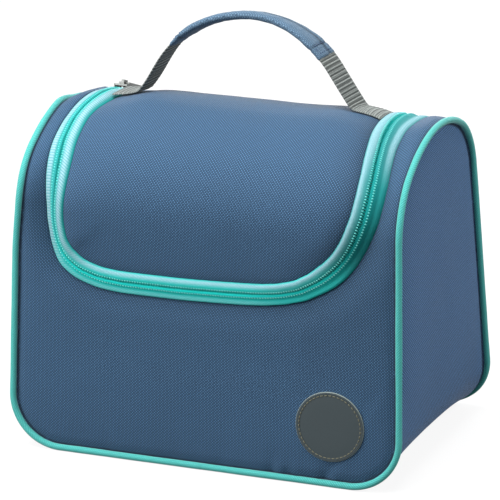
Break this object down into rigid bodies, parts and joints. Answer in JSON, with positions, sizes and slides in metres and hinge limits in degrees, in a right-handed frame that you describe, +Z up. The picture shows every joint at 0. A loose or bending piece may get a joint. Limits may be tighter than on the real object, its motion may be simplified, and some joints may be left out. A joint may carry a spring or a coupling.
{
  "type": "insulated lunch bag",
  "caption": "Soft insulated lunch bag with a domed zip-open lid, corded edges, foam walls, a wipe-clean lining, a webbing carry handle with a padded grip and a bare round patch.",
  "frame": {"origin": "centre of the base where the bag stands, on the floor plane", "axes": "+Z up, -Y out of the front with the patch and the zipped lid, +X to the right seen from the front"},
  "size_m": [0.2524, 0.1732, 0.2624],
  "materials": {
    "outer_fabric": "navy blue woven polyester with a fine twill look, matt",
    "foam": "closed-cell polyethylene foam, off-white",
    "lining": "wipe-clean silver-grey insulating film",
    "piping": "turquoise fabric over a round cord",
    "zipper_tape": "light turquoise woven zipper tape",
    "zipper_coil": "light turquoise nylon",
    "slider_metal": "nickel-plated zinc, satin to bright",
    "webbing": "mid grey ribbed webbing",
    "grip_fabric": "navy blue woven polyester, folded and sewn over the strap",
    "badge": "dark grey soft patch, bare, with a thin lighter rim"
  },
  "bodies": {
    "bag": {"front_panel": "outer_fabric", "back_panel": "outer_fabric", "side_panel_left": "outer_fabric", "side_panel_right": "outer_fabric", "base_panel": "outer_fabric", "front_foam": "foam", "back_foam": "foam", "side_foam_left": "foam", "side_foam_right": "foam", "base_foam": "foam", "front_lining": "lining", "back_lining": "lining", "side_lining_left": "lining", "side_lining_right": "lining", "base_lining": "lining", "piping": "piping", "zipper_tape_body": "zipper_tape", "zipper_tape_ends": "zipper_tape", "zipper_teeth_body": "zipper_coil", "zipper_stops": "slider_metal", "badge_patch": "badge", "lid_hinge_fold": "outer_fabric"},
    "lid": {"lid_panel": "outer_fabric", "lid_foam": "foam", "lid_lining": "lining", "zipper_tape_lid": "zipper_tape", "zipper_teeth_lid": "zipper_coil"},
    "handle": {"handle_webbing": "webbing", "handle_grip": "grip_fabric"},
    "slider": {"slider_body": "slider_metal"},
    "pull": {"slider_pull": "slider_metal"}
  },
  "joints": [
    {"name": "lid_hinge", "type": "hinge", "parent": "bag", "child": "lid", "pos_m": [0, 0.01448, 0.20455], "axis": [-1, 0, 0], "range_deg": [0, 100], "deforming": ["lid_hinge_fold"]},
    {"name": "handle_swing", "type": "hinge", "parent": "lid", "child": "handle", "pos_m": [0, -0.0027, 0.2099], "axis": [1, 0, 0], "range_deg": [-20, 65], "stiffness_Nm_per_rad": 0.06, "deforming": ["handle_webbing"]},
    {"name": "slider_travel", "type": "hinge", "parent": "bag", "child": "slider", "pos_m": [0, -0.0075, 0.1149], "axis": [1, 0, 0], "range_deg": [0, 45], "deforming": ["zipper_teeth_body", "zipper_teeth_lid"]},
    {"name": "pull_swing", "type": "hinge", "parent": "slider", "child": "pull", "pos_m": [-0.0953, 0.02424, 0.20338], "axis": [1, 0, 0], "range_deg": [0, 115]}
  ]
}
